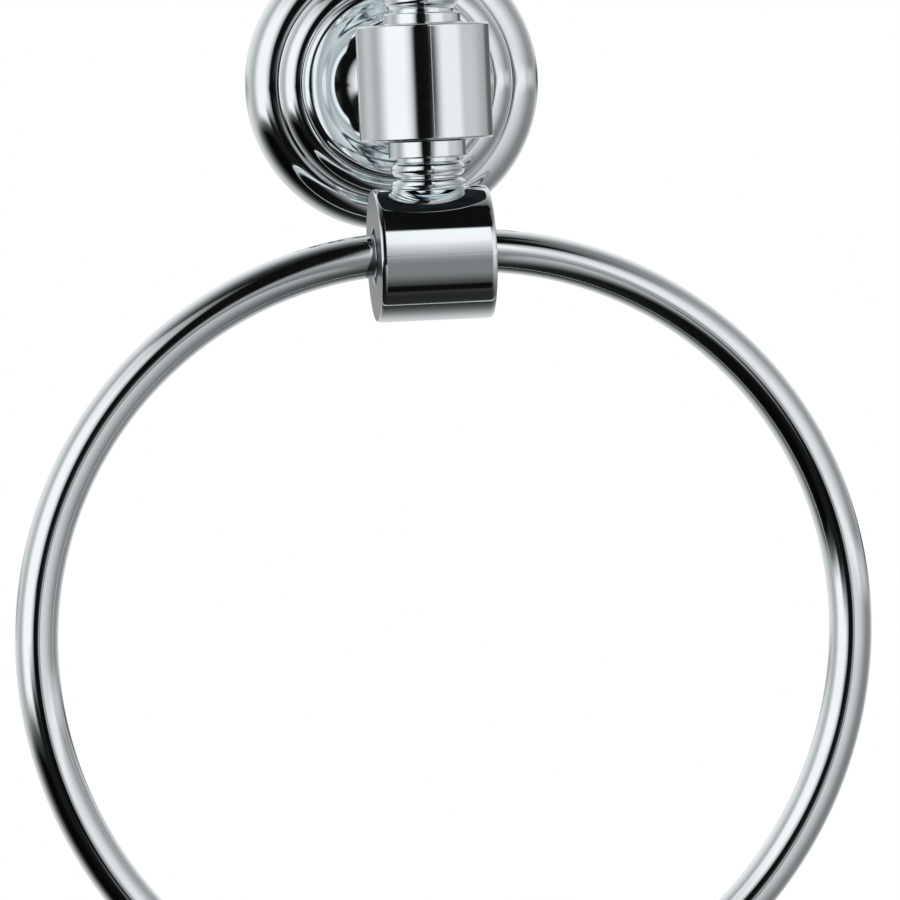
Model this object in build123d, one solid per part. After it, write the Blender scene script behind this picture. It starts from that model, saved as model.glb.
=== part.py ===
from build123d import *

import math
import os

# Chrome towel ring, in mm. The wall is the plane y = 0, the front faces -y and z is up.
# The origin is the middle of the rosette, on the wall.

# Where the main pieces stand
wall_to_drum = 65.0         # wall to the upright axis of the drum
drum_to_ring = 39.5         # middle of the drum down to the ring's pins

# Ring, bent from one round rod
ring_width = 200.0          # over the rod
ring_rod = 10.0
ring_flattening = 6.5       # the two upper bends are this much tighter than the lower half
ring_set_radius = 15.0      # short bend beside each pin
ring_pin_margin = 0.2       # straight rod that shows beside the holder
ring_pin_chamfer = 0.6
ring_end_gap = 0.6          # end of a pin to the web between the bores

# Holder of the ring, a short cylinder that lies along x
holder_dia = 30.8
holder_length = 26.6
holder_edge = 1.1
holder_web = 3.0

# Bushes in the holder
bush_dia = 13.0
bush_recess = 0.6
bush_seat_gap = 0.02
pin_clearance = 0.05

# Drum
drum_dia = 30.8
drum_height = 26.5
drum_edge = 0.5

# Turned neck between drum and holder, which the stem repeats behind the drum
collar_dia = 17.8
collar_height = 4.0
collar_edge = 0.4
groove_dia = 12.4
groove_width = 0.8
neck_bead_dia = 13.8
neck_bead_height = 3.7
waist_dia = 11.8
neck_foot_dia = 17.6
neck_foot_sink = 0.5        # rim of the flared foot below the top of the holder
neck_flare = 1.2            # radius of the flare above it, in chords of the flare

# Finial on the drum
finial_collar_height = 2.7
finial_groove_dia = 14.8
knob_dia = 17.0
knob_height = 4.2
crown_height = 2.6

# Stud that ties finial, drum and neck together
stud_dia = 6.0
stud_in_finial = 5.0
stud_in_neck = 13.0
hole_spare = 0.8            # depth of a blind hole past the end of its screw or tenon
stud_clearance = 0.2
stud_chamfer = 0.6

# Rosette: two beads that step up from the wall, and a plate that dips and flares up to the stem
rosette_dia = 71.0
rim_height = 1.6
rim_bead = 7.2
middle_bead = 5.2
bead_wrap = 4.0             # degrees that a bead rolls on past its crest
bead_step = 0.5
rim_wall = 5.25
rosette_wall = 2.6
plate_edge = 2.0
plate_crest = 30.0          # radius of the plate's crest
plate_dip = 6.0             # degrees that the plate turns down inside its crest
flare_radius = 16.0

# Wall bracket under the rosette
bracket_thickness = 4.6
bracket_bore = 24.0
bracket_clearance = 0.25
bracket_front_gap = 0.3
screw_spacing = 41.0
screw_hole = 5.0
screw_sink = 9.4
screw_sink_angle = 90.0

# Grub screw that locks the rosette on the bracket
grub_dia = 4.0
grub_recess = 0.8
grub_tip_gap = 0.05
grub_socket = 2.0
grub_socket_depth = 2.0
grub_chamfer = 0.6

# Stem from rosette to drum, with its nut and washer
stem_foot_dia = 17.6
stem_foot_height = 1.4
stem_foot_clearance = 0.2
stem_dia = 13.0
stem_saddle_gap = 0.02
stem_thread = 8.0
stem_in_drum = 8.5
stem_past_nut = 1.0
tail_clearance = 0.2
washer_dia = 16.0
washer_thickness = 1.6
nut_size = 13.0             # across flats
nut_height = 6.5
nut_chamfer_angle = 30.0
thread_gap = 0.03           # between the plain cylinders that stand for a screw and its nut

# Levels and radii that follow
drum_top = drum_height / 2
drum_bottom = -drum_height / 2
holder_top = holder_dia / 2 - drum_to_ring
rosette_r = rosette_dia / 2
bracket_r = rosette_r - rim_wall - bracket_clearance
seat_r = stem_foot_dia / 2 + stem_foot_clearance
drum_back = wall_to_drum - drum_dia / 2

# Sections are drawn as (radius, height) on the drum and (radius, distance from the wall) behind it
drum_section = Plane(origin=(0, -wall_to_drum, 0), x_dir=(1, 0, 0), z_dir=(0, -1, 0))
drum_axis = Axis((0, -wall_to_drum, 0), (0, 0, 1))
wall_section = Plane(origin=(0, 0, 0), x_dir=(1, 0, 0), z_dir=(0, 0, -1))
wall_axis = Axis((0, 0, 0), (0, -1, 0))
ring_plane = Plane(origin=(0, -wall_to_drum, -drum_to_ring), x_dir=(1, 0, 0), z_dir=(0, -1, 0))


def turned(outline, plane, axis):
    return revolve(plane * make_face(outline), axis=axis)


def upright_rod(radius, low, high, chamfer_size=0.0):
    rod = Pos(0, -wall_to_drum, (low + high) / 2) * Cylinder(radius, high - low)
    return chamfer(rod.edges().filter_by(GeomType.CIRCLE), chamfer_size) if chamfer_size else rod


def wall_rod(radius, near, far):
    return Pos(0, -(near + far) / 2, 0) * Rot(X=90) * Cylinder(radius, far - near)


def cross_rod(radius, start, end):
    middle = Vector((start + end) / 2, -wall_to_drum, -drum_to_ring)
    return Pos(middle) * Rot(Y=90) * Cylinder(radius, abs(end - start))


# Rosette outline: each bead rises upright at its outer edge and rolls over its crest
def bead(start, width):
    radius = width / (1 + math.sin(math.radians(bead_wrap)))
    return JernArc(start, (0, 1), radius, 90 + bead_wrap)


rim_line = Line((rosette_r, 0), (rosette_r, rim_height))
rim_arc = bead(rim_line @ 1, rim_bead)
first_groove = rim_arc @ 1
first_step = Line(first_groove, first_groove + Vector(0, bead_step))
middle_arc = bead(first_step @ 1, middle_bead)
second_groove = middle_arc @ 1
second_step = Line(second_groove, second_groove + Vector(0, bead_step))
plate_arc = JernArc(second_step @ 1, (0, 1), plate_edge, 90)
crest_arc = JernArc(plate_arc @ 1, (-1, 0), plate_crest, plate_dip)
flare_low_r = (crest_arc @ 1).X - flare_radius * math.sin(math.radians(plate_dip))
flare_turn = math.degrees(math.asin((flare_low_r - seat_r) / flare_radius))
flare = JernArc(crest_arc @ 1, crest_arc % 1, flare_radius, -plate_dip - flare_turn)
seat = flare @ 1
ceiling = (crest_arc @ 1).Y - rosette_wall


# Middle of the rosette's rim at six o'clock, with z pointing outwards and down
grub_place = Pos(0, -bracket_thickness / 2, -(bracket_r + rim_wall / 2)) * Rot(X=180)


def make_rosette():
    tail_hole_r = stem_thread / 2 + tail_clearance
    cavity_r = bracket_r + bracket_clearance
    cavity_depth = bracket_thickness + bracket_front_gap
    middle_r = first_groove.X - rosette_wall
    middle_depth = second_groove.Y - rosette_wall
    plate_r = second_groove.X - rosette_wall
    inside = Polyline(
        (seat.X, seat.Y),
        (tail_hole_r, seat.Y),
        (tail_hole_r, ceiling),
        (plate_r, ceiling),
        (plate_r, middle_depth),
        (middle_r, middle_depth),
        (middle_r, cavity_depth),
        (cavity_r, cavity_depth),
        (cavity_r, 0),
        (rosette_r, 0),
    )
    outline = rim_line + rim_arc + first_step + middle_arc + second_step
    outline += plate_arc + crest_arc + flare + inside
    grub_hole = grub_place * Cylinder(grub_dia / 2 + thread_gap, 2 * rim_wall)
    return turned(outline, wall_section, wall_axis) - grub_hole


def make_grub_screw():
    tip = -rim_wall / 2 + grub_tip_gap
    head = rosette_r - grub_recess - bracket_r - rim_wall / 2
    body = Pos(0, 0, (tip + head) / 2) * Cylinder(grub_dia / 2, head - tip)
    body = chamfer(body.edges().group_by(Axis.Z)[0], grub_chamfer)
    socket = RegularPolygon(grub_socket / 2, 6, major_radius=False)
    body -= Pos(0, 0, head) * extrude(socket, -grub_socket_depth)
    return grub_place * body


def make_bracket():
    plate = wall_rod(bracket_r, 0, bracket_thickness) - wall_rod(bracket_bore / 2, 0, bracket_thickness)
    sink_depth = (screw_sink - screw_hole) / 2 / math.tan(math.radians(screw_sink_angle / 2))
    hole = Cylinder(screw_hole / 2, 2 * bracket_thickness)
    sink = Pos(0, 0, bracket_thickness - sink_depth / 2) * Cone(screw_hole / 2, screw_sink / 2, sink_depth)
    for side in (-1, 1):
        plate -= Pos(side * screw_spacing / 2, 0, 0) * Rot(X=90) * (hole + sink)
    return plate


# The turned detail that starts at the drum's face: collar, groove and bead, down to the waist
def neck_detail(face):
    def at(dia, distance):
        return (dia / 2, face - distance)

    groove_end = collar_height + groove_width
    bead_end = groove_end + neck_bead_height
    collar = Polyline(
        at(collar_dia, collar_edge),
        at(collar_dia, collar_height - collar_edge),
        at(collar_dia - 2 * collar_edge, collar_height),
        at(groove_dia, collar_height),
        at(groove_dia, groove_end),
        at(waist_dia, groove_end),
    )
    swell = ThreePointArc(
        at(waist_dia, groove_end),
        at(neck_bead_dia, groove_end + neck_bead_height / 2),
        at(waist_dia, bead_end),
    )
    return collar + swell, bead_end


def make_holder():
    detail, bead_end = neck_detail(drum_bottom)
    face_r = collar_dia / 2 - collar_edge
    foot_level = holder_top - neck_foot_sink
    waist_end = (waist_dia / 2, drum_bottom - bead_end)
    foot_rim = (neck_foot_dia / 2, foot_level)
    flare = RadiusArc(waist_end, foot_rim, -neck_flare * math.dist(waist_end, foot_rim))
    outline = detail + flare
    outline += Polyline(foot_rim, (neck_foot_dia / 2, -drum_to_ring), (0, -drum_to_ring), (0, drum_bottom))
    outline += Polyline((0, drum_bottom), (face_r, drum_bottom), (collar_dia / 2, drum_bottom - collar_edge))
    neck = turned(outline, drum_section, drum_axis)
    barrel = cross_rod(holder_dia / 2, -holder_length / 2, holder_length / 2)
    barrel = fillet(barrel.edges().filter_by(GeomType.CIRCLE), holder_edge)
    bore_r = bush_dia / 2 + bush_seat_gap
    holder = barrel + neck
    for side in (-1, 1):
        holder -= cross_rod(bore_r, side * holder_web / 2, side * holder_length / 2)
    stud_floor = drum_bottom - stud_in_neck - hole_spare
    return holder - upright_rod(stud_dia / 2 + thread_gap, stud_floor, drum_bottom)


def make_bush(side):
    start = side * holder_web / 2
    end = side * (holder_length / 2 - bush_recess)
    return cross_rod(bush_dia / 2, start, end) - cross_rod(ring_rod / 2 + pin_clearance, start, end)


def make_drum():
    body = fillet(
        upright_rod(drum_dia / 2, drum_bottom, drum_top).edges().filter_by(GeomType.CIRCLE), drum_edge
    )
    body -= upright_rod(stud_dia / 2 + stud_clearance, drum_bottom, drum_top)
    return body - wall_rod(stem_thread / 2 + thread_gap, 0, drum_back + stem_in_drum + hole_spare)


def make_finial():
    def at(dia, height):
        return (dia / 2, drum_top + height)

    knob_start = finial_collar_height + groove_width
    knob_end = knob_start + knob_height
    outline = Polyline(
        at(0, knob_end + crown_height),
        at(0, 0),
        at(collar_dia - 2 * collar_edge, 0),
        at(collar_dia, collar_edge),
        at(collar_dia, finial_collar_height - collar_edge),
        at(collar_dia - 2 * collar_edge, finial_collar_height),
        at(finial_groove_dia, finial_collar_height),
        at(finial_groove_dia, knob_start),
    )
    side = ThreePointArc(
        at(finial_groove_dia, knob_start),
        at(knob_dia, knob_start + knob_height / 2),
        at(finial_groove_dia, knob_end),
    )
    crown_r = (crown_height**2 + (finial_groove_dia / 2) ** 2) / (2 * crown_height)
    crown = RadiusArc(at(finial_groove_dia, knob_end), at(0, knob_end + crown_height), -crown_r)
    finial = turned(outline + side + crown, drum_section, drum_axis)
    hole_top = drum_top + stud_in_finial + hole_spare
    return finial - upright_rod(stud_dia / 2 + thread_gap, drum_top, hole_top)


def make_stud():
    return upright_rod(stud_dia / 2, drum_bottom - stud_in_neck, drum_top + stud_in_finial, stud_chamfer)


nut_front = ceiling - washer_thickness
tail_end = nut_front - nut_height - stem_past_nut


def make_stem():
    detail, bead_end = neck_detail(drum_back)
    foot_r = stem_foot_dia / 2
    cove_r = foot_r - stem_dia / 2
    foot_top = seat.Y + stem_foot_height
    cove = JernArc((foot_r, foot_top), (-1, 0), cove_r, -90)
    tail_r = stem_thread / 2
    collar_r = collar_dia / 2
    shaft = Polyline(cove @ 1, (stem_dia / 2, drum_back - bead_end), (waist_dia / 2, drum_back - bead_end))
    outline = cove + shaft + detail
    outline += Polyline((collar_r, drum_back - collar_edge), (collar_r, wall_to_drum), (0, wall_to_drum))
    outline += Polyline((0, wall_to_drum), (0, tail_end), (tail_r, tail_end), (tail_r, seat.Y))
    outline += Polyline((tail_r, seat.Y), (foot_r, seat.Y), (foot_r, foot_top))
    stem = turned(outline, wall_section, wall_axis)
    stem -= upright_rod(drum_dia / 2 + stem_saddle_gap, -collar_dia, collar_dia)
    return stem + wall_rod(tail_r, drum_back - collar_height, drum_back + stem_in_drum)


def make_washer():
    plate = wall_rod(washer_dia / 2, nut_front, ceiling)
    return plate - wall_rod(stem_thread / 2 + tail_clearance, nut_front, ceiling)


def make_nut():
    low = nut_front - nut_height
    hexagon = RegularPolygon(nut_size / 2, 6, major_radius=False)
    body = Pos(0, -low, 0) * Rot(X=90) * extrude(hexagon, nut_height)
    corner_r = nut_size / math.sqrt(3)
    drop = (corner_r - nut_size / 2) * math.tan(math.radians(nut_chamfer_angle))
    # turned blank whose ends are chamfered down to the flats
    blank = Polyline(
        (0, low),
        (nut_size / 2, low),
        (corner_r, low + drop),
        (corner_r, nut_front - drop),
        (nut_size / 2, nut_front),
        (0, nut_front),
        (0, low),
    )
    body = body & turned(blank, wall_section, wall_axis)
    return body - wall_rod(stem_thread / 2 + thread_gap, low, nut_front)


def make_ring():
    lower_r = (ring_width - ring_rod) / 2
    upper_r = lower_r - ring_flattening
    straight = holder_length / 2 + ring_pin_margin
    pin_end = holder_web / 2 + ring_end_gap
    # the short bend turns by just enough for the upper bend to end upright at the ring's widest place
    turn = math.degrees(math.asin((straight - ring_flattening) / (upper_r - ring_set_radius)))
    pin = Line((pin_end, 0), (straight, 0))
    path = [pin]
    bends = (
        (ring_set_radius, turn),
        (upper_r, 90 - turn),
        (lower_r, 180),
        (upper_r, 90 - turn),
        (ring_set_radius, turn),
    )
    for radius, angle in bends:
        path.append(JernArc(path[-1] @ 1, path[-1] % 1, radius, -angle))
    path.append(Line(path[-1] @ 1, (-pin_end, 0)))
    section = Plane(origin=pin @ 0, z_dir=pin % 0) * Circle(ring_rod / 2)
    ring = ring_plane * sweep(section, path=Curve() + path)
    ends = ring.edges().filter_by(GeomType.CIRCLE).sort_by(lambda edge: abs(edge.center().X))[:2]
    return chamfer(ends, ring_pin_chamfer)


pieces = {
    "wall_bracket": make_bracket(),
    "rosette": make_rosette(),
    "rosette_grub_screw": make_grub_screw(),
    "stem": make_stem(),
    "stem_washer": make_washer(),
    "stem_nut": make_nut(),
    "drum": make_drum(),
    "finial": make_finial(),
    "tie_stud": make_stud(),
    "ring_holder": make_holder(),
    "left_bush": make_bush(-1),
    "right_bush": make_bush(1),
    "towel_ring": make_ring(),
}

os.makedirs("parts", exist_ok=True)
for node, shape in pieces.items():
    export_step(shape, f"parts/{node}.step")
    print(node, f"{shape.volume:.0f} mm3")
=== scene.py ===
import math

import bmesh
import bpy
from mathutils import Matrix, Vector


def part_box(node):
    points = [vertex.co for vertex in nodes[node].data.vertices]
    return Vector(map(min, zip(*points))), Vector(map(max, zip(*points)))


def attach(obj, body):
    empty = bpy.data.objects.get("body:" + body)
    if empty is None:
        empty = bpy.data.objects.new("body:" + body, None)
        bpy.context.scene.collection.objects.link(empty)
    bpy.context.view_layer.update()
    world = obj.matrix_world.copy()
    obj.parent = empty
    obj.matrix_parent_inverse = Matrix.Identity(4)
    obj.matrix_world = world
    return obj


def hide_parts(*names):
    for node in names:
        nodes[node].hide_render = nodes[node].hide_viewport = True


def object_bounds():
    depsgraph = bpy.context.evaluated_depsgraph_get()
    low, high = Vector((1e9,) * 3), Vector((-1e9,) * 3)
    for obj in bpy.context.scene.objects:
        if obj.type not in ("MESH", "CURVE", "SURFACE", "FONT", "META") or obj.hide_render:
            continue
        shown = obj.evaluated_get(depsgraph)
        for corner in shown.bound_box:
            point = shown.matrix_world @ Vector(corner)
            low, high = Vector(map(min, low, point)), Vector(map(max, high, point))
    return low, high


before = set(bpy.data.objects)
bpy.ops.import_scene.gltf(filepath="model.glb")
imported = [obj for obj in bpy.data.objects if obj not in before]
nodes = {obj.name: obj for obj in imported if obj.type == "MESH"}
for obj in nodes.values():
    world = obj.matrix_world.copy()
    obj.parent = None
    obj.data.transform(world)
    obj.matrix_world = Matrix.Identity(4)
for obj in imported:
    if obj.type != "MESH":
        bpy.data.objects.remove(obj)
cadLow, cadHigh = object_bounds()
print("frame loaded:", len(nodes), "nodes")

mm = 0.001
samePoint = 1e-6       # mm, closer points of an outline are one
sameCorner = 0.002     # mm, closer corners of a cut mesh are one


# One socket of a node tree, so that node maths can be written as plain sums
class Wire:
    def __init__(self, tree, socket=None):
        self.tree = tree
        self.socket = socket

    # Settings come first, then each socket's value or link, or a list of links for a joining socket
    def node(self, kind, settings=None, sockets=None, out=0):
        made = self.tree.nodes.new(kind)
        for name, value in (settings or {}).items():
            setattr(made, name, value)
        for key, value in (sockets or {}).items():
            for one in value if isinstance(value, list) else [value]:
                if isinstance(one, Wire):
                    self.tree.links.new(one.socket, made.inputs[key])
                else:
                    made.inputs[key].default_value = one
        return Wire(self.tree, made.outputs[out] if made.outputs else None)

    def maths(self, operation, *values):
        return self.node("ShaderNodeMath", {"operation": operation}, dict(enumerate(values)))

    def __add__(self, other):
        return self.maths("ADD", self, other)

    def __radd__(self, other):
        return self.maths("ADD", other, self)

    def __sub__(self, other):
        return self.maths("SUBTRACT", self, other)

    def __rsub__(self, other):
        return self.maths("SUBTRACT", other, self)

    def __mul__(self, other):
        return self.maths("MULTIPLY", self, other)

    def __rmul__(self, other):
        return self.maths("MULTIPLY", other, self)

    def __truediv__(self, other):
        return self.maths("DIVIDE", self, other)

    def __rtruediv__(self, other):
        return self.maths("DIVIDE", other, self)

    def __neg__(self):
        return self.maths("MULTIPLY", self, -1.0)


def vectorMaths(operation, first, *others, out="Vector"):
    sockets = dict(enumerate((first,) + others))
    return first.node("ShaderNodeVectorMath", {"operation": operation}, sockets, out)


def splitVector(vector):
    split = vector.node("ShaderNodeSeparateXYZ", None, {0: vector}).socket.node
    return [Wire(vector.tree, output) for output in split.outputs]


def blendColour(factor, first, second):
    return factor.node("ShaderNodeMix", {"data_type": "RGBA"}, {0: factor, 6: first, 7: second}, out=2)


def smoothRange(value, low, high, start=0.0, end=1.0):
    sockets = {0: value, 1: low, 2: high, 3: start, 4: end}
    return value.node("ShaderNodeMapRange", {"interpolation_type": "SMOOTHSTEP"}, sockets)


def noiseAt(place, scale, detail=2.0, rough=0.5):
    sockets = {"Vector": place, "Scale": scale, "Detail": detail, "Roughness": rough}
    return place.node("ShaderNodeTexNoise", None, sockets, out="Fac")


def newMaterial(name):
    made = bpy.data.materials.new(name)
    made.use_nodes = True
    made.node_tree.nodes.clear()
    wire = Wire(made.node_tree)
    return made, wire, wire.node("ShaderNodeTexCoord", out="Object")


def closeMaterial(wire, surface):
    wire.node("ShaderNodeOutputMaterial", None, {"Surface": surface})


# Every finish ends the same way: colour, roughness and a slight relief
def closeFinish(wire, look, colour, roughness, relief, metallic=1.0):
    normal = wire.node("ShaderNodeBump", None, {
        "Strength": look["reliefStrength"], "Distance": look["reliefDepth"], "Height": relief})
    closeMaterial(wire, wire.node("ShaderNodeBsdfPrincipled", None, {
        "Base Color": colour, "Metallic": metallic, "Roughness": roughness, "Normal": normal}))


# Polished chrome over turned or cast brass
chromeFinish = {
    "clear": (0.887, 0.937, 0.957, 1.0),
    "grey": (0.843, 0.9, 0.922, 1.0),
    "roughness": 0.035,
    "haze": 0.03,               # extra roughness where the polish is a little dull
    "hazeScale": 70.0,
    "hazeDetail": 4.0,
    "hazeRange": (0.45, 0.75),
    "lineRoughness": 0.02,      # faint lines left from turning
    "lineScale": 2600.0,
    "lineDetail": 1.0,
    "rippleScale": 120.0,
    "rippleDetail": 1.0,
    "reliefStrength": 0.015,
    "reliefDepth": 0.0004,
    "satinShade": (0.295, 0.315, 0.324, 1.0),      # flat end faces, left as turned and rougher; their grey colour is painted shade
    # painted shade: near-black colour for the drum's underside, where shade falls
    "darkSatinShade": (0.046, 0.05, 0.052, 1.0),
    "satinRoughness": 0.3,
    "satinRange": (0.97, 0.995),              # how squarely a face looks along a flat's direction
}


# axis is the direction that the piece was turned about, or None for a buffed rod
# flats holds the directions of end faces that are left as turned and rougher, with a colour darkened as
# painted shade
def chromeMaterial(name, axis=None, centre=(0, 0, 0), flats=(), satinShade="satinShade"):
    look = chromeFinish
    made, wire, place = newMaterial(name)
    haze = smoothRange(noiseAt(place, look["hazeScale"], look["hazeDetail"]), *look["hazeRange"])
    grain = place
    if axis is not None:
        moved = vectorMaths("SUBTRACT", place, centre)
        along = vectorMaths("DOT_PRODUCT", moved, axis, out="Value")
        outward = vectorMaths("LENGTH", vectorMaths("CROSS_PRODUCT", moved, axis), out="Value")
        grain = wire.node("ShaderNodeCombineXYZ", None, {"X": along, "Y": outward})
    lines = noiseAt(grain, look["lineScale"], look["lineDetail"])
    roughness = look["roughness"] + haze * look["haze"] + lines * look["lineRoughness"]
    colour = blendColour(haze, look["clear"], look["grey"])
    for flat in flats:
        facing = wire.node("ShaderNodeTexCoord", out="Normal")
        # Faces square to a flat get the rougher turned finish and a colour of painted shade
        turned = smoothRange(vectorMaths("DOT_PRODUCT", facing, flat, out="Value"), *look["satinRange"])
        colour = blendColour(turned, colour, look[satinShade])
        roughness = roughness + turned * look["satinRoughness"]
    ripple = noiseAt(place, look["rippleScale"], look["rippleDetail"])
    closeFinish(wire, look, colour, roughness, ripple)
    return made


# Dull zinc plate of the wall bracket
zincFinish = {
    "pale": (0.66, 0.67, 0.68, 1.0),
    "dim": (0.5, 0.515, 0.53, 1.0),
    "grainScale": 260.0,
    "grainShare": 0.6,
    "cloudScale": 90.0,
    "cloudDetail": 5.0,
    "cloudRough": 0.6,
    "cloudShare": 0.7,
    "dimRange": (0.3, 0.9),
    "roughness": 0.34,
    "dimRoughness": 0.16,
    "reliefStrength": 0.12,
    "reliefDepth": 0.0003,
}


def zincMaterial():
    look = zincFinish
    made, wire, place = newMaterial("dullZinc")
    sockets = {"Vector": place, "Scale": look["grainScale"]}
    grain = wire.node("ShaderNodeTexVoronoi", None, sockets, out="Distance")
    cloud = noiseAt(place, look["cloudScale"], look["cloudDetail"], look["cloudRough"])
    dim = smoothRange(grain * look["grainShare"] + cloud * look["cloudShare"], *look["dimRange"])
    colour = blendColour(dim, look["pale"], look["dim"])
    closeFinish(wire, look, colour, look["roughness"] + dim * look["dimRoughness"], cloud)
    return made


# Plain bright steel of the screws, nut and washer, with lathe lines round the wall axis
steelFinish = {
    "bright": (0.64, 0.645, 0.65, 1.0),
    "worn": (0.46, 0.465, 0.47, 1.0),
    "stretch": (0.08, 1.0, 0.08),
    "lineScale": 1500.0,
    "lineDetail": 3.0,
    "spotScale": 220.0,
    "spotDetail": 4.0,
    "noiseRough": 0.6,
    "share": 0.5,
    "wornRange": (0.35, 0.7),
    "roughness": 0.24,
    "lineRoughness": 0.18,
    "reliefStrength": 0.1,
    "reliefDepth": 0.0002,
}


def steelMaterial():
    look = steelFinish
    made, wire, place = newMaterial("brightSteel")
    stretched = wire.node("ShaderNodeMapping", None, {"Vector": place, "Scale": look["stretch"]})
    lines = noiseAt(stretched, look["lineScale"], look["lineDetail"], look["noiseRough"])
    spots = noiseAt(place, look["spotScale"], look["spotDetail"], look["noiseRough"])
    worn = smoothRange(lines * look["share"] + spots * look["share"], *look["wornRange"])
    colour = blendColour(worn, look["bright"], look["worn"])
    closeFinish(wire, look, colour, look["roughness"] + lines * look["lineRoughness"], lines)
    return made


# Moulded nylon of the two bushes
nylonFinish = {
    "base": (0.035, 0.036, 0.038, 1.0),
    "bloom": (0.075, 0.076, 0.078, 1.0),
    "cloudScale": 300.0,
    "cloudDetail": 4.0,
    "cloudRough": 0.6,
    "bloomRange": (0.4, 0.75),
    "grainScale": 3500.0,
    "grainDetail": 2.0,
    "roughness": 0.42,
    "grainRoughness": 0.2,
    "reliefStrength": 0.15,
    "reliefDepth": 0.0001,
}


def nylonMaterial():
    look = nylonFinish
    made, wire, place = newMaterial("mouldedNylon")
    cloud = noiseAt(place, look["cloudScale"], look["cloudDetail"], look["cloudRough"])
    grain = noiseAt(place, look["grainScale"], look["grainDetail"])
    colour = blendColour(smoothRange(cloud, *look["bloomRange"]), look["base"], look["bloom"])
    roughness = look["roughness"] + grain * look["grainRoughness"]
    closeFinish(wire, look, colour, roughness, grain, metallic=0.0)
    return made


# Outlines of turned pieces are lists of (radius, height) in mm
def arcPoints(centre, radius, start, end, step=4.0):
    count = max(2, math.ceil(abs(end - start) / step))
    angles = [math.radians(start + (end - start) * i / count) for i in range(count + 1)]
    return [(centre[0] + radius * math.cos(a), centre[1] + radius * math.sin(a)) for a in angles]


# Arc about centre from one arm to the other, the short way round
def arcBetween(centre, radius, first, last, step):
    sweep = math.degrees(math.atan2(first.x * last.y - first.y * last.x, first.dot(last)))
    start = math.degrees(math.atan2(first.y, first.x))
    return arcPoints(centre, radius, start, start + sweep, step)


# A corner may carry a third number, the radius that rounds it
def rounded(corners, step=9.0):
    points = []
    for i, corner in enumerate(corners):
        here = Vector(corner[:2])
        if len(corner) < 3:
            points.append(tuple(here))
            continue
        radius = corner[2]
        back = (Vector(corners[i - 1][:2]) - here).normalized()
        on = (Vector(corners[(i + 1) % len(corners)][:2]) - here).normalized()
        half = back.angle(on) / 2
        centre = here + (back + on).normalized() * (radius / math.sin(half))
        first = here + back * (radius / math.tan(half)) - centre
        last = here + on * (radius / math.tan(half)) - centre
        points += arcBetween(centre, radius, first, last, step)
    return points


# Bow from one point to the next through the given rise, positive to the right of the way
def bowPoints(start, end, rise, step=4.0):
    a, b = Vector(start), Vector(end)
    chord = b - a
    radius = (chord.length**2 / 4 + rise**2) / (2 * abs(rise))
    right = Vector((chord.y, -chord.x)).normalized() * math.copysign(1, rise)
    centre = (a + b) / 2 + right * (abs(rise) - radius)
    return arcBetween(centre, radius, a - centre, b - centre, step)


def plainRod(radius, start, end):
    return [(0, start), (radius, start), (radius, end), (0, end)]


# Rows close to both ends of a straight run keep its shading flat
def heldRuns(points, closed, gap=0.1):
    following = points[1:] + points[:1] if closed else points[1:]
    kept = []
    for a, b in zip(points, following):
        kept.append(a)
        length = math.dist(a, b)
        if length > 5 * gap:
            for share in (gap / length, 1 - gap / length):
                kept.append((a[0] + (b[0] - a[0]) * share, a[1] + (b[1] - a[1]) * share))
    return kept if closed else kept + points[-1:]


def withoutRepeats(points):
    return [p for i, p in enumerate(points) if i == 0 or math.dist(p, points[i - 1]) > samePoint]


def smoothed(shape, sharpAngle=28.0):
    for face in shape.faces:
        face.smooth = True
    for edge in shape.edges:
        if len(edge.link_faces) == 2:
            edge.smooth = edge.calc_face_angle(0.0) < math.radians(sharpAngle)


def turnedPiece(name, outline, origin, along, steps=192, closed=False):
    along = Vector(along)
    side = along.orthogonal().normalized()
    other = along.cross(side)
    points = heldRuns(withoutRepeats(outline), closed)
    shape = bmesh.new()
    rows = []
    for radius, height in points:
        middle = Vector(origin) + along * height * mm
        if radius < samePoint:
            rows.append([shape.verts.new(middle)])
            continue
        row = []
        for i in range(steps):
            angle = 2 * math.pi * i / steps
            spoke = side * math.cos(angle) + other * math.sin(angle)
            row.append(shape.verts.new(middle + spoke * radius * mm))
        rows.append(row)
    pairs = list(zip(rows, rows[1:])) + ([(rows[-1], rows[0])] if closed else [])
    for low, high in pairs:
        for i in range(steps):
            j = (i + 1) % steps
            loop = [low[i % len(low)], low[j % len(low)], high[j % len(high)], high[i % len(high)]]
            shape.faces.new(list(dict.fromkeys(loop)))
    bmesh.ops.recalc_face_normals(shape, faces=shape.faces)
    smoothed(shape)
    mesh = bpy.data.meshes.new(name)
    shape.to_mesh(mesh)
    shape.free()
    piece = bpy.data.objects.new(name, mesh)
    bpy.context.scene.collection.objects.link(piece)
    return piece


# Turns what a piece's modifier makes into its plain mesh
def applyModifier(piece):
    before = piece.data
    evaluated = piece.evaluated_get(bpy.context.evaluated_depsgraph_get())
    mesh = bpy.data.meshes.new_from_object(evaluated)
    piece.modifiers.clear()
    piece.data = mesh
    mesh.name = piece.name
    return before


# Joins or cuts piece with tool, which is used up
def cutOrJoin(piece, tool, operation):
    modifier = piece.modifiers.new("shaped", "BOOLEAN")
    modifier.operation = operation
    modifier.object = tool
    modifier.solver = "MANIFOLD"
    before = applyModifier(piece)
    bpy.data.objects.remove(tool)
    bpy.data.meshes.remove(before)
    shape = bmesh.new()
    shape.from_mesh(piece.data)
    bmesh.ops.remove_doubles(shape, verts=shape.verts, dist=sameCorner * mm)
    smoothed(shape)
    shape.to_mesh(piece.data)
    shape.free()


def finishPiece(piece, material, body, slot, *replaced):
    piece.data.materials.clear()
    piece.data.materials.append(material)
    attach(piece, body)
    if replaced:
        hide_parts(*replaced)
    print("piece", piece.name, len(piece.data.polygons), "faces")


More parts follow.
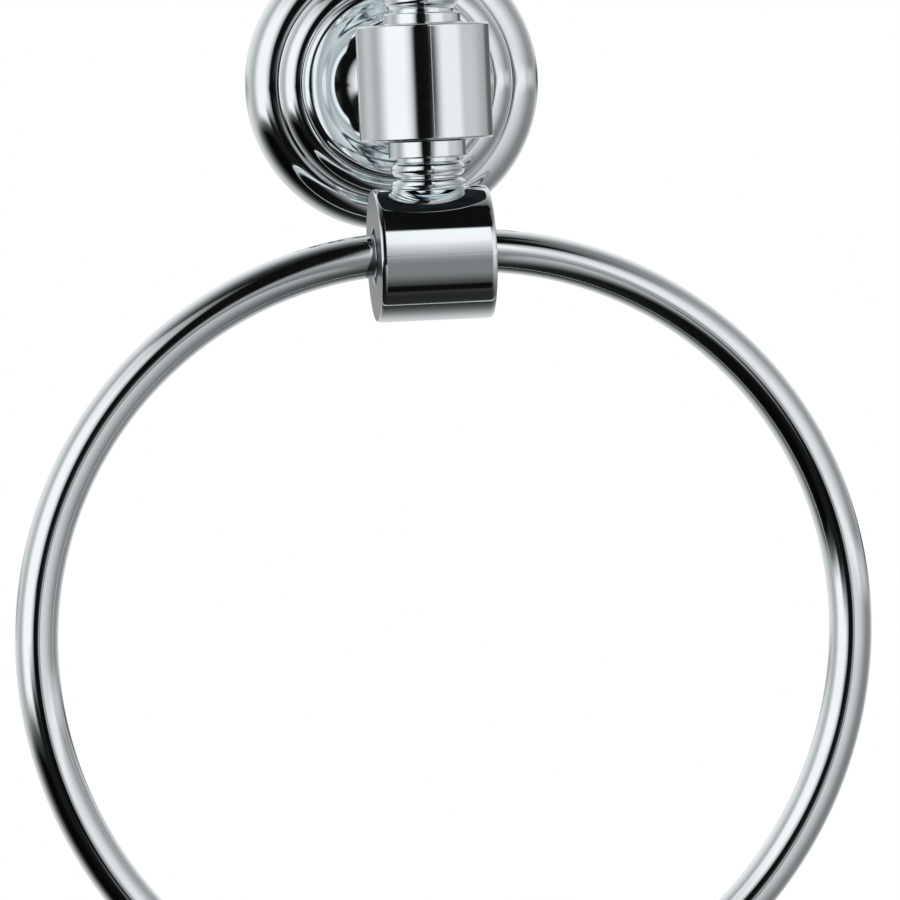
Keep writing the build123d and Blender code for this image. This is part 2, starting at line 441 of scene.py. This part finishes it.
# A Geometry Nodes tree with named inputs for its sizes, step counts and finish
def newTree(name, sizes, counts):
    tree = bpy.data.node_groups.new(name, "GeometryNodeTree")
    tree.interface.new_socket("Geometry", in_out="OUTPUT", socket_type="NodeSocketGeometry")
    kinds = {"NodeSocketFloat": sizes, "NodeSocketInt": counts, "NodeSocketMaterial": ("Finish",)}
    for kind, labels in kinds.items():
        for label in labels:
            tree.interface.new_socket(label, in_out="INPUT", socket_type=kind)
    entry = tree.nodes.new("NodeGroupInput")
    given = {socket.name: Wire(tree, socket) for socket in entry.outputs if socket.name}
    return tree, Wire(tree), given


def closeTree(wire, geometry, finish):
    real = wire.node("GeometryNodeRealizeInstances", None, {"Geometry": geometry})
    done = wire.node("GeometryNodeSetMaterial", None, {"Geometry": real, "Material": finish})
    wire.node("NodeGroupOutput", None, {"Geometry": done})


# A Geometry Nodes result as a plain mesh object
def meshFromTree(name, tree, inputs):
    piece = bpy.data.objects.new(name, bpy.data.meshes.new(name + "Start"))
    bpy.context.scene.collection.objects.link(piece)
    modifier = piece.modifiers.new("made", "NODES")
    modifier.node_group = tree
    for item in tree.interface.items_tree:
        if item.in_out == "INPUT":
            modifier[item.identifier] = inputs[item.name]
    bpy.data.meshes.remove(applyModifier(piece))
    shape = bmesh.new()
    shape.from_mesh(piece.data)
    bmesh.ops.recalc_face_normals(shape, faces=shape.faces)
    smoothed(shape)
    shape.to_mesh(piece.data)
    shape.free()
    return piece


# Places and sizes that come from the frame, in mm
def sizesOf(node):
    low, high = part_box(node)
    return [round(v / mm, 2) for v in low], [round(v / mm, 2) for v in high]


drumLow, drumHigh = sizesOf("drum")
drumY = (drumLow[1] + drumHigh[1]) / 2
drumRadius = (drumHigh[0] - drumLow[0]) / 2
drumTop, drumBottom = drumHigh[2], drumLow[2]
drumBack = -drumHigh[1]
holderLow, holderHigh = sizesOf("ring_holder")
holderRadius = (holderHigh[1] - holderLow[1]) / 2
halfLength = (holderHigh[0] - holderLow[0]) / 2
pinZ = holderLow[2] + holderRadius
drumOrigin = (0, drumY * mm, 0)
pinOrigin = (0, drumY * mm, pinZ * mm)
wallOrigin = (0, 0, 0)
up, outOfWall, across = (0, 0, 1), (0, -1, 0), (1, 0, 0)
down, acrossBack = (0, 0, -1), (-1, 0, 0)
hair = 0.025       # keeps the finest outlines inside the CAD box
overrun = 5.0      # how far a drill starts or ends outside the metal

chromeUpright = chromeMaterial("chromeUpright", up, drumOrigin)
# The drum's underside is darkened with painted shade
chromeDrum = chromeMaterial("chromeDrum", up, drumOrigin, [down], "darkSatinShade")
# The holder's end faces are greyed with painted shade
chromeHolder = chromeMaterial("chromeHolder", across, pinOrigin, [across, acrossBack])
chromeWall = chromeMaterial("chromeWall", outOfWall)
chromeRod = chromeMaterial("chromeRod")
dullZinc, brightSteel, mouldedNylon = zincMaterial(), steelMaterial(), nylonMaterial()
print("materials made")

# Towel ring: a rod along two pins, two set bends, two upper bends and a half circle below
ringShape = {
    "flattening": 6.5,      # the upper bends are this much tighter than the lower half
    "setRadius": 15.0,
    "pinMargin": 0.2,
    "pinEnd": 2.1,
    "pinChamfer": 0.6,
    "bendSteps": 130,
    "lowerSteps": 260,
    "setSteps": 12,
    "roundSteps": 64,
    "weld": 0.01,
}


def rodTree():
    sizes = ("Rod Radius", "Lower Radius", "Flattening", "Set Radius", "Straight", "Pin End",
             "Pin Chamfer", "Pin Y", "Pin Z")
    counts = ("Bend Steps", "Lower Steps", "Set Steps", "Round Steps")
    tree, wire, given = newTree("rodAlongBends", sizes, counts)
    rod, lower, flattening = given["Rod Radius"], given["Lower Radius"], given["Flattening"]
    setRadius, straight = given["Set Radius"], given["Straight"]
    pinEnd, chamfer = given["Pin End"], given["Pin Chamfer"]
    upper = lower - flattening
    turn = wire.maths("ARCSINE", (straight - flattening) / (upper - setRadius))
    depth = setRadius + (upper - setRadius) * wire.maths("COSINE", turn)
    quarter = math.pi / 2

    def flat(x, z):
        return wire.node("ShaderNodeCombineXYZ", None, {"X": x, "Y": z})

    def line(x0, x1):
        ends = {"Start": flat(x0, 0.0), "End": flat(x1, 0.0)}
        return wire.node("GeometryNodeCurvePrimitiveLine", None, ends)

    def bend(x, z, radius, start, sweep, steps):
        arc = wire.node("GeometryNodeCurveArc", None, {
            "Resolution": steps, "Radius": radius, "Start Angle": start, "Sweep Angle": sweep})
        return wire.node("GeometryNodeTransform", None, {"Geometry": arc, "Translation": flat(x, z)})

    runs = []
    for side in (1.0, -1.0):
        chamferEnd = pinEnd + chamfer
        runs += [line(pinEnd * side, chamferEnd * side), line(chamferEnd * side, straight * side)]
        setStart = quarter - turn if side > 0 else quarter
        runs.append(bend(straight * side, -setRadius, setRadius, setStart, turn, given["Set Steps"]))
        upperStart = 0.0 if side > 0 else quarter + turn
        runs.append(bend(flattening * side, -depth, upper, upperStart, quarter - turn, given["Bend Steps"]))
    runs.append(bend(0.0, -depth, lower, math.pi, math.pi, given["Lower Steps"]))
    # the runs share their end points, so a weld makes one line of them
    joined = wire.node("GeometryNodeJoinGeometry", None, {"Geometry": runs})
    lines = wire.node("GeometryNodeCurveToMesh", None, {"Curve": joined})
    welded = wire.node("GeometryNodeMergeByDistance", None, {
        "Geometry": lines, "Distance": ringShape["weld"] * mm})
    path = wire.node("GeometryNodeMeshToCurve", None, {"Mesh": welded})
    pins = wire.node("ShaderNodeCombineXYZ", None, {"Y": given["Pin Y"], "Z": given["Pin Z"]})
    stood = wire.node("GeometryNodeTransform", None, {
        "Geometry": path, "Rotation": (quarter, 0, 0), "Translation": pins})
    ends = wire.node("GeometryNodeCurveEndpointSelection", None, {"Start Size": 1, "End Size": 1})
    section = wire.node("GeometryNodeCurvePrimitiveCircle", None, {
        "Resolution": given["Round Steps"], "Radius": rod})
    swept = wire.node("GeometryNodeCurveToMesh", None, {
        "Curve": stood, "Profile Curve": section, "Scale": 1.0 - ends * (chamfer / rod), "Fill Caps": True})
    closeTree(wire, swept, given["Finish"])
    return tree


ringLow, ringHigh = sizesOf("towel_ring")
rodFull = (ringHigh[1] - ringLow[1]) / 2
towelRing = meshFromTree("towelRing", rodTree(), {
    "Rod Radius": (rodFull - hair) * mm,
    "Lower Radius": ((ringHigh[0] - ringLow[0]) / 2 - rodFull) * mm,
    "Flattening": ringShape["flattening"] * mm,
    "Set Radius": ringShape["setRadius"] * mm,
    "Straight": (halfLength + ringShape["pinMargin"]) * mm,
    "Pin End": ringShape["pinEnd"] * mm,
    "Pin Chamfer": ringShape["pinChamfer"] * mm,
    "Pin Y": drumY * mm,
    "Pin Z": pinZ * mm,
    "Bend Steps": ringShape["bendSteps"],
    "Lower Steps": ringShape["lowerSteps"],
    "Set Steps": ringShape["setSteps"],
    "Round Steps": ringShape["roundSteps"],
    "Finish": chromeRod,
})
finishPiece(towelRing, chromeRod, "ring", "chrome_plate", "towel_ring")

# Drum, bored for the stud and drilled from behind for the stem
drumShape = {"edge": 0.5, "bore": 3.2, "stemHole": 4.03, "stemHoleDepth": 9.3, "drillSteps": 64}
drumOutline = rounded([
    (drumShape["bore"], drumBottom), (drumRadius - hair, drumBottom, drumShape["edge"]),
    (drumRadius - hair, drumTop, drumShape["edge"]), (drumShape["bore"], drumTop)])
drum = turnedPiece("drum", drumOutline, drumOrigin, up, closed=True)
drillOutline = plainRod(drumShape["stemHole"], drumBack - overrun, drumBack + drumShape["stemHoleDepth"])
drill = turnedPiece("drill", drillOutline, wallOrigin, outOfWall, drumShape["drillSteps"])
cutOrJoin(drum, drill, "DIFFERENCE")
drum.name = "drumBody"
finishPiece(drum, chromeDrum, "fitting", "chrome_plate", "drum")

# Turned detail that the neck and the stem share: collar, groove and bead, away from the drum
# The neck goes on with a waist, a second bead as its foot, and a root inside the holder
neckShape = {
    "collarRadius": 8.9,
    "collarHeight": 4.2,
    "collarEdge": 0.4,
    "grooveRadius": 7.3,
    "grooveWidth": 0.8,
    "beadRadius": 7.5,
    "beadRise": 1.0,
    "beadHeight": 3.4,
    "waistRadius": 6.7,
    "waistHeight": 0.4,
    "footRadius": 7.2,
    "footRise": 1.4,
    "footHeight": 2.8,
    "rootRadius": 6.0,
    "studHole": 3.03,
    "studHoleDepth": 13.8,
}


def neckOutline(face):
    look = neckShape
    collarEnd = face - look["collarHeight"]
    grooveEnd = collarEnd - look["grooveWidth"]
    beadEnd = grooveEnd - look["beadHeight"]
    points = rounded([
        (look["studHole"], face), (look["collarRadius"], face, look["collarEdge"]),
        (look["collarRadius"], collarEnd, look["collarEdge"]), (look["grooveRadius"], collarEnd)])
    points += [(look["grooveRadius"], grooveEnd)]
    points += bowPoints((look["beadRadius"], grooveEnd), (look["beadRadius"], beadEnd), -look["beadRise"])
    return points, beadEnd


# Ring holder: a short lying cylinder with a bore for each pin, and the neck that stands on it
holderShape = {
    "edgeLength": 1.3,
    "edgeDrop": 0.4,
    "edgeSteps": 15,
    "bore": 6.52,
    "boreEdge": 0.15,
    "web": 3.0,
    "neckDepth": 6.0,
    "steps": 256,
}


def barrelOutline():
    look = holderShape
    radius = holderRadius - hair
    half = rounded([
        (0, look["web"] / 2), (look["bore"], look["web"] / 2), (look["bore"], halfLength, look["boreEdge"]),
        (radius - look["edgeDrop"], halfLength)])
    for step in range(1, look["edgeSteps"] + 1):      # the edge is a quarter of an ellipse
        angle = math.pi / 2 * step / look["edgeSteps"]
        half.append((radius - look["edgeDrop"] * (1 - math.sin(angle)),
                     halfLength - look["edgeLength"] * (1 - math.cos(angle))))
    return [(r, -x) for r, x in half] + half[::-1]


def neckPost():
    look = neckShape
    detail, beadEnd = neckOutline(drumBottom)
    footStart = beadEnd - look["waistHeight"]
    footEnd = footStart - look["footHeight"]
    studFloor = drumBottom - look["studHoleDepth"]
    neckFloor = pinZ + holderRadius - holderShape["neckDepth"]
    points = [(0, studFloor), (look["studHole"], studFloor)] + detail
    points += [(look["waistRadius"], beadEnd), (look["waistRadius"], footStart)]
    points += bowPoints((look["footRadius"], footStart), (look["footRadius"], footEnd), -look["footRise"])
    points += [(look["rootRadius"], footEnd), (look["rootRadius"], neckFloor), (0, neckFloor)]
    return turnedPiece("neck", points, drumOrigin, up, holderShape["steps"])


ringHolder = turnedPiece("ringHolder", barrelOutline(), pinOrigin, across, holderShape["steps"])
cutOrJoin(ringHolder, neckPost(), "UNION")
finishPiece(ringHolder, chromeHolder, "fitting", "chrome_plate", "ring_holder")

# Finial: collar, groove and low knob
finialShape = {
    "collarHeight": 2.7,
    "grooveRadius": 7.4,
    "knobRise": 1.1,
    "knobHeight": 4.2,
    "holeDepth": 5.8,
    "crownStep": 3.0,
}


def finialOutline():
    look = finialShape
    finialTop = sizesOf("finial")[1][2]
    collar, edge, hole = neckShape["collarRadius"], neckShape["collarEdge"], neckShape["studHole"]
    groove = look["grooveRadius"]
    collarTop = drumTop + look["collarHeight"]
    knobStart = collarTop + neckShape["grooveWidth"]
    knobEnd = knobStart + look["knobHeight"]
    crownHeight = finialTop - knobEnd
    crownRadius = (crownHeight**2 + groove**2) / (2 * crownHeight)
    crownMiddle = finialTop - crownRadius
    crownStart = math.degrees(math.atan2(knobEnd - crownMiddle, groove))
    points = [(0, drumTop + look["holeDepth"]), (hole, drumTop + look["holeDepth"])]
    points += rounded([
        (hole, drumTop), (collar, drumTop, edge), (collar, collarTop, edge), (groove, collarTop)])
    points += bowPoints((groove, knobStart), (groove, knobEnd), look["knobRise"])
    points += arcPoints((0, crownMiddle), crownRadius, crownStart, 90.0, look["crownStep"])
    points[-1] = (0, finialTop)      # exactly on the axis
    return points


finial = turnedPiece("finialKnob", finialOutline(), drumOrigin, up)
finishPiece(finial, chromeUpright, "fitting", "chrome_plate", "finial")

# Rosette: two beads and a plate that dips and flares up to the stem
# It is hollow behind, with the grub screw's hole below
rosetteShape = {
    "rimHeight": 1.6,
    "rimBead": 7.2,
    "middleBead": 5.2,
    "wrap": 4.0,            # degrees that a bead rolls on past its crest
    "step": 0.5,
    "plateEdge": 2.0,
    "crestRadius": 30.0,
    "dip": 6.0,             # degrees that the plate turns down inside its crest
    "flareRadius": 16.0,
    "seatRadius": 9.0,
    "wall": 2.6,
    "rimWall": 5.25,
    "cavityDepth": 4.9,
    "tailHole": 4.2,
    "grubHole": 2.03,
    "grubDepth": 2.3,
    "grubSteps": 48,
    "backEdge": 0.3,
    "beadStep": 3.0,
    "crestStep": 1.0,
    "flareStep": 1.5,
    "steps": 240,
}
rosetteRadius = sizesOf("rosette")[1][0]


def rosetteOutline():
    look = rosetteShape
    cavity = rosetteRadius - look["rimWall"]
    points = rounded([
        (cavity, 0), (rosetteRadius, 0, look["backEdge"]), (rosetteRadius, look["rimHeight"])])
    edge, level = rosetteRadius, look["rimHeight"]
    ledges = []
    for width in (look["rimBead"], look["middleBead"]):
        radius = width / (1 + math.sin(math.radians(look["wrap"])))
        points += arcPoints((edge - radius, level), radius, 0.0, 90.0 + look["wrap"], look["beadStep"])
        edge, groove = points[-1]
        level = groove + look["step"]
        ledges.append((edge - look["wall"], groove - look["wall"]))
        points.append((edge, level))
    points += arcPoints((edge - look["plateEdge"], level), look["plateEdge"], 0.0, 90.0)
    crest, top = points[-1]
    dip, reach, flare = look["dip"], look["crestRadius"], look["flareRadius"]
    points += arcPoints((crest, top - reach), reach, 90.0, 90.0 + dip, look["crestStep"])
    inner, slope = points[-1], math.radians(dip)
    middle = (inner[0] - flare * math.sin(slope), inner[1] + flare * math.cos(slope))
    turn = math.degrees(math.asin((middle[0] - look["seatRadius"]) / flare))
    points += arcPoints(middle, flare, dip - 90.0, -90.0 - turn, look["flareStep"])
    seat = points[-1][1]
    ceiling = inner[1] - look["wall"]
    rimLedge, middleLedge = ledges
    tail, depth = look["tailHole"], look["cavityDepth"]
    points += [(tail, seat), (tail, ceiling), (middleLedge[0], ceiling), middleLedge]
    points += [(rimLedge[0], middleLedge[1]), (rimLedge[0], depth), (cavity, depth)]
    return points, seat


rosettePoints, seatLevel = rosetteOutline()
rosetteSteps = rosetteShape["steps"]
rosette = turnedPiece("rosetteCover", rosettePoints, wallOrigin, outOfWall, rosetteSteps, closed=True)
grubStart = rosetteRadius - 2 * rosetteShape["rimWall"]
drillOutline = plainRod(rosetteShape["grubHole"], grubStart, rosetteRadius + overrun)
drillOrigin = (0, -rosetteShape["grubDepth"] * mm, 0)
drill = turnedPiece("drill", drillOutline, drillOrigin, down, rosetteShape["grubSteps"])
cutOrJoin(rosette, drill, "DIFFERENCE")
finishPiece(rosette, chromeWall, "fitting", "chrome_plate", "rosette")

# Stem: foot and cove on the rosette, shaft, the neck's detail again, saddle and tenon in the drum
stemShape = {
    "footRadius": 8.8,
    "footHeight": 1.4,
    "footEdge": 0.25,
    "coveStart": -92.5,      # degrees, just inside the foot's rounded edge
    "shaftRadius": 6.5,
    "tailRadius": 4.0,
    "threadRadius": 3.45,
    "tailEdge": 0.5,
    "threadLength": 8.7,
    "saddleGap": 0.02,
    "saddleReach": 20.0,
    "saddleSteps": 192,
    "tenonRoot": 3.0,
    "tenonDepth": 8.5,
    "tenonSteps": 64,
    "steps": 224,
}
tailEnd = -sizesOf("stem")[1][1]


def stemOutline():
    look = stemShape
    radii = ("footRadius", "shaftRadius", "tailRadius", "threadRadius")
    foot, shaft, tail, thread = (look[name] for name in radii)
    threadEnd = tailEnd + look["threadLength"]
    footTop = seatLevel + look["footHeight"]
    cove = foot - shaft
    points = rounded([
        (0, tailEnd), (thread, tailEnd, look["tailEdge"]), (thread, threadEnd), (tail, threadEnd),
        (tail, seatLevel), (foot, seatLevel), (foot, footTop, look["footEdge"]), (shaft, footTop)])[:-1]
    points += arcPoints((foot, footTop + cove), cove, look["coveStart"], -180.0)
    detail, beadEnd = neckOutline(drumBack)
    detail = [p for p in detail if p[1] < drumBack - neckShape["collarEdge"]]
    points += [(shaft, beadEnd)] + detail[::-1]
    return points + [(neckShape["collarRadius"], -drumY), (0, -drumY)]      # the saddle cuts this end


stem = turnedPiece("stemPost", stemOutline(), wallOrigin, outOfWall, stemShape["steps"])
saddleReach = stemShape["saddleReach"]
saddleOutline = plainRod(drumRadius + stemShape["saddleGap"], -saddleReach, saddleReach)
saddle = turnedPiece("saddle", saddleOutline, drumOrigin, up, stemShape["saddleSteps"])
cutOrJoin(stem, saddle, "DIFFERENCE")
tenonOutline = plainRod(stemShape["tailRadius"], drumBack - stemShape["tenonRoot"],
                        drumBack + stemShape["tenonDepth"])
tenon = turnedPiece("tenon", tenonOutline, wallOrigin, outOfWall, stemShape["tenonSteps"])
cutOrJoin(stem, tenon, "UNION")
finishPiece(stem, chromeWall, "fitting", "chrome_plate", "stem")

# Screw thread on the stem's tail, which shows behind the nut
threadShape = {"crest": 4.0, "root": 3.4, "pitch": 1.25, "start": 0.35, "stepsPerTurn": 48, "sides": 4}


def threadTree():
    sizes = ("Root Radius", "Crest Radius", "Pitch", "Turns", "Tail End")
    tree, wire, given = newTree("threadRidge", sizes, ("Steps", "Sides"))
    root = given["Root Radius"]
    coil = wire.node("GeometryNodeCurveSpiral", None, {
        "Resolution": given["Steps"], "Rotations": given["Turns"], "Start Radius": root,
        "End Radius": root, "Height": given["Pitch"] * given["Turns"]})
    section = wire.node("GeometryNodeCurvePrimitiveCircle", None, {
        "Resolution": given["Sides"], "Radius": given["Crest Radius"] - root})
    ridge = wire.node("GeometryNodeCurveToMesh", None, {
        "Curve": coil, "Profile Curve": section, "Fill Caps": True})
    start = wire.node("ShaderNodeCombineXYZ", None, {"Y": -given["Tail End"]})
    turned = wire.node("GeometryNodeTransform", None, {
        "Geometry": ridge, "Rotation": (math.pi / 2, 0, 0), "Translation": start})
    closeTree(wire, turned, given["Finish"])
    return tree


threadTurns = int((stemShape["threadLength"] - 2 * threadShape["start"]) / threadShape["pitch"])
threadStart = tailEnd + threadShape["start"] + (threadShape["crest"] - threadShape["root"])
tailThread = meshFromTree("tailThread", threadTree(), {
    "Root Radius": threadShape["root"] * mm,
    "Crest Radius": threadShape["crest"] * mm,
    "Pitch": threadShape["pitch"] * mm,
    "Turns": float(threadTurns),
    "Tail End": threadStart * mm,
    "Steps": threadShape["stepsPerTurn"],
    "Sides": threadShape["sides"],
    "Finish": brightSteel,
})
finishPiece(tailThread, brightSteel, "fitting", "fastener_steel")

# CAD pieces that stay as they are get their own finish
keptFinishes = {
    "wall_bracket": dullZinc,
    "rosette_grub_screw": brightSteel,
    "stem_washer": brightSteel,
    "stem_nut": brightSteel,
    "tie_stud": brightSteel,
    "left_bush": mouldedNylon,
    "right_bush": mouldedNylon,
}
for node, material in keptFinishes.items():
    nodes[node].data.materials.clear()
    nodes[node].data.materials.append(material)
print("frame pieces finished")

# Studio tent: soft panels in degrees round the ring, azimuth 0 at the front and positive to the right
# Each panel is painted over those before it
tentPanels = {      # name: azimuth, half width, soft width, height, half height, soft height, level
    "backdrop": (172, 91, 138, 19, 71, 175, 0.9),
    "leftSheet": (-56, 30, 34, 19, 32, 6, 1.0),
    "rightSheet": (38, 44, 19, 15, 37, 126, 1.0),
    "rightGrey": (94, 40, 59, -40, 88, 200, 0.216),
    "darkLow": (-63, 47, 72, -60, 43, 7, 0.002),
    "darkFront": (-31, 14, 14, -15, 8, 8, 0.01),
    "darkHigh": (6, 56, 108, 77, 38, 24, 0.002),
    "zenith": (0, 400, 10, 90, 17, 65, 0.075),
    "nadir": (0, 400, 10, -90, 27, 53, 0.016),
    "slit": (-8.5, 13, 7, 30, 45, 5, 0.004),
    "barrelGrey": (9.5, 4, 2, -20, 40, 10, 0.22),
    "barrelSheet": (9.5, 4, 2, 40, 31, 50, 1.0),
    "barrelLow": (11, 5.5, 2, -52, 10, 24, 0.05),
    "barrelTop": (20, 15, 8, 68, 25, 4, 0.004),
    "barrelCrown": (40, 36, 10, 80, 12, 6, 0.004),
    "barrelLine": (13.5, 5, 3, -59, 6, 4, 0.004),
    "levelLeft": (-152, 22, 34, 0, 3.0, 5.0, 0.42),
    "levelRight": (62, 46, 56, 0, 3.0, 5.0, 0.6),
    "levelStrip": (37, 22, 15, 0, 3.0, 5.0, 0.9),
    "levelShade": (143, 18, 18, 0, 3.0, 5.0, 0.12),
    "levelSlit": (-10, 14, 13, 0, 1.0, 0.5, 0.004),
    "levelFade": (5, 11.5, 25, 0, 0.7, 0.3, 0.004),
    "barrelGap": (7.1, 0.75, 0.5, 0, 1.2, 0.6, 0.4),
}
tentBase = 0.01
softLevel = (0.72, 0.72, 0.72, 1.0)      # what lights the dull surfaces
white = (1.0, 1.0, 1.0, 1.0)


def buildWorld():
    world = bpy.data.worlds.new("studioTent")
    bpy.context.scene.world = world
    world.use_nodes = True
    world.node_tree.nodes.clear()
    wire = Wire(world.node_tree)
    x, y, z = splitVector(wire.node("ShaderNodeTexCoord", out="Generated"))
    degree = 180 / math.pi
    azimuth = wire.maths("ARCTAN2", x, -y) * degree
    height = wire.maths("ARCSINE", z) * degree
    level = tentBase
    for aim, halfWidth, softWidth, above, halfHeight, softHeight, shown in tentPanels.values():
        aside = wire.maths("ABSOLUTE", wire.maths("WRAP", azimuth - aim, 180.0, -180.0))
        beyond = wire.maths("ABSOLUTE", height - above)
        mask = smoothRange(aside, halfWidth + softWidth / 2, halfWidth - softWidth / 2)
        mask = mask * smoothRange(beyond, halfHeight + softHeight / 2, halfHeight - softHeight / 2)
        level = level + mask * (shown - level)
    rays = ("Is Camera Ray", "Is Glossy Ray", "Is Transmission Ray")
    direct, glossy, through = (wire.node("ShaderNodeLightPath", out=name) for name in rays)
    tent = wire.node("ShaderNodeCombineColor", None, {0: level, 1: level, 2: level})
    colour = blendColour(wire.maths("MAXIMUM", glossy, through), softLevel, tent)
    colour = blendColour(direct, colour, white)
    sky = wire.node("ShaderNodeBackground", None, {"Color": colour, "Strength": 1.0})
    wire.node("ShaderNodeOutputWorld", None, {"Surface": sky})


buildWorld()

# Pale floor just below the ring: it keeps a soft shadow and goes over into the white surround
floorLook = {
    "drop": 12.0,
    "halfSize": 1.6,
    "colour": (0.9, 0.9, 0.9, 1.0),
    "nearGlow": 0.5,
    "fadeStart": 0.12,
    "fadeEnd": 0.34,
}


def buildFloor():
    low = cadLow.z - floorLook["drop"] * mm
    half = floorLook["halfSize"]
    corners = [(-half, -half, low), (half, -half, low), (half, half, low), (-half, half, low)]
    mesh = bpy.data.meshes.new("studioFloor")
    mesh.from_pydata(corners, [], [(0, 1, 2, 3)])
    floor = bpy.data.objects.new("studioFloor", mesh)
    bpy.context.scene.collection.objects.link(floor)
    made, wire, place = newMaterial("paleFloor")
    x, y, _ = splitVector(place)
    offset = y - drumY * mm
    away = wire.maths("SQRT", x * x + offset * offset)
    glow = smoothRange(away, floorLook["fadeStart"], floorLook["fadeEnd"], floorLook["nearGlow"], 1.0)
    direct = wire.node("ShaderNodeLightPath", out="Is Camera Ray")
    dull = wire.node("ShaderNodeBsdfDiffuse", None, {"Color": floorLook["colour"]})
    bright = wire.node("ShaderNodeEmission", None, {"Color": white, "Strength": 1.0})
    shown = wire.node("ShaderNodeMixShader", None, {0: glow * direct, 1: dull, 2: bright})
    clear = wire.node("ShaderNodeBsdfTransparent")
    under = wire.node("ShaderNodeNewGeometry", out="Backfacing")
    closeMaterial(wire, wire.node("ShaderNodeMixShader", None, {0: under, 1: shown, 2: clear}))
    mesh.materials.append(made)
    floor.visible_glossy = False      # the tent's own lower half shows in the chrome


buildFloor()

# Two soft lamps for the dull surfaces and the floor's shadow, aimed at the pins
lamps = {
    "overheadLamp": {"place": (-0.25, -0.45, 0.9), "size": 0.8, "power": 5.0},
    "rearLamp": {"place": (0.5, 0.7, 0.5), "size": 0.8, "power": 3.0},
}
for name, lamp in lamps.items():
    light = bpy.data.lights.new(name, "AREA")
    light.size = lamp["size"]
    light.energy = lamp["power"]
    lampObject = bpy.data.objects.new(name, light)
    lampObject.location = lamp["place"]
    lampObject.rotation_mode = "QUATERNION"
    aim = Vector(pinOrigin) - lampObject.location
    lampObject.rotation_quaternion = aim.to_track_quat("-Z", "Y")
    lampObject.visible_glossy = False
    bpy.context.scene.collection.objects.link(lampObject)

# Camera where the photograph was taken from, in metres and degrees
view = {
    "eye": (-0.1612, -1.3623, 0.0005),
    "yaw": 7.188,
    "pitch": -3.743,
    "roll": -2.369,
    "lens": 226.76,
    "sensor": 36.0,
    "clip": (0.05, 50.0),
}


def buildCamera():
    yaw, pitch, roll = (math.radians(view[k]) for k in ("yaw", "pitch", "roll"))
    ahead = Vector((math.sin(yaw) * math.cos(pitch), math.cos(yaw) * math.cos(pitch), math.sin(pitch)))
    sideways = Vector((math.cos(yaw), -math.sin(yaw), 0))
    upward = sideways.cross(ahead)
    right = math.cos(roll) * sideways + math.sin(roll) * upward
    top = -math.sin(roll) * sideways + math.cos(roll) * upward
    lens = bpy.data.cameras.new("photoCamera")
    lens.lens = view["lens"]
    lens.sensor_width = view["sensor"]
    lens.sensor_fit = "HORIZONTAL"
    lens.clip_start, lens.clip_end = view["clip"]
    camera = bpy.data.objects.new("photoCamera", lens)
    bpy.context.scene.collection.objects.link(camera)
    turned = Matrix((right, top, -ahead)).transposed().to_4x4()
    camera.matrix_world = Matrix.Translation(view["eye"]) @ turned
    bpy.context.scene.camera = camera


buildCamera()
bpy.context.scene.view_settings.view_transform = "Standard"
print("studio and camera ready")
